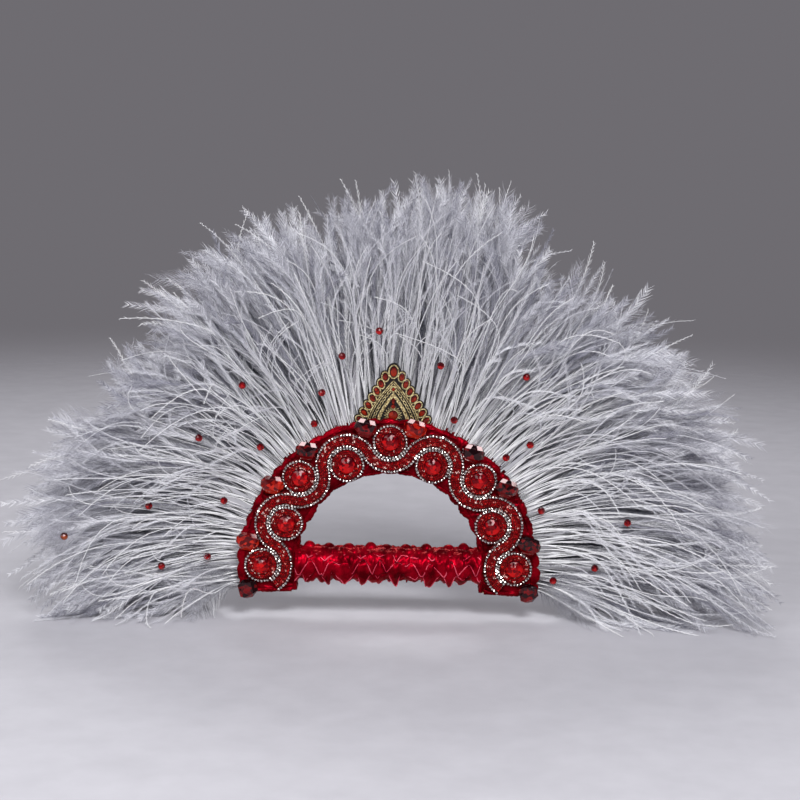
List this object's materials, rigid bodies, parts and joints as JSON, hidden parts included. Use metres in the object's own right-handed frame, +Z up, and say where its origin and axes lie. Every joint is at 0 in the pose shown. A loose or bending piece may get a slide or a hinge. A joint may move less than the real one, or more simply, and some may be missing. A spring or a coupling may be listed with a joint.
{
  "type": "feather hand fan",
  "caption": "Rigid D-framed hand fan: a satin arch with beaded serpentine trim and a ribbon-wrapped grip bar, ringed by layered grey ostrich fringe with red bead pins.",
  "frame": {"origin": "middle of the grip bar, on its axis", "axes": "X along the grip bar, Z up towards the top of the arch, -Y is the decorated front"},
  "size_m": [0.4909, 0.0725, 0.2873],
  "materials": {
    "board": "stiff card, hidden under the satin",
    "dowel": "plain turned wood, hidden under the ribbon",
    "satin": "red satin with soft sheen",
    "seed_beads": "opaque lined red seed beads on felt",
    "rhinestones": "silver cup chain with clear stones",
    "red_glass": "foil-backed cut red glass",
    "brocade": "gold metallic embroidery",
    "feather": "matt silver-grey ostrich flues"
  },
  "bodies": {
    "root": {"front_board": "board", "back_board": "board", "front_facing": "satin", "back_facing": "satin", "front_edging": "satin", "back_edging": "satin", "handle_dowel": "dowel", "handle_ribbon": "satin", "bead_embroidery": "seed_beads", "rhinestone_row_outer": "rhinestones", "rhinestone_row_inner": "rhinestones", "medallion_stone_1": "red_glass", "medallion_stone_2": "red_glass", "medallion_stone_3": "red_glass", "medallion_stone_4": "red_glass", "medallion_stone_5": "red_glass", "medallion_stone_6": "red_glass", "medallion_stone_7": "red_glass", "medallion_stone_8": "red_glass", "medallion_stone_9": "red_glass", "rim_crystal_1": "red_glass", "rim_crystal_2": "red_glass", "rim_crystal_3": "red_glass", "rim_crystal_4": "red_glass", "rim_crystal_5": "red_glass", "rim_crystal_6": "red_glass", "rim_crystal_7": "red_glass", "rim_crystal_8": "red_glass", "rim_crystal_9": "red_glass", "rim_crystal_10": "red_glass", "brocade_patch": "brocade", "bead_pin_1": "red_glass", "bead_pin_2": "red_glass", "bead_pin_3": "red_glass", "bead_pin_4": "red_glass", "bead_pin_5": "red_glass", "bead_pin_6": "red_glass", "bead_pin_7": "red_glass", "bead_pin_8": "red_glass", "bead_pin_9": "red_glass", "bead_pin_10": "red_glass", "bead_pin_11": "red_glass", "bead_pin_12": "red_glass", "bead_pin_13": "red_glass", "bead_pin_14": "red_glass", "bead_pin_15": "red_glass", "bead_pin_16": "red_glass", "bead_pin_17": "red_glass", "bead_pin_18": "red_glass", "bead_pin_19": "red_glass", "bead_pin_20": "red_glass", "bead_pin_21": "red_glass", "front_fringe_1": "feather", "back_fringe_1": "feather", "front_fringe_2": "feather", "back_fringe_2": "feather", "front_fringe_3": "feather", "back_fringe_3": "feather", "front_fringe_4": "feather", "back_fringe_4": "feather"}
  },
  "joints": []
}
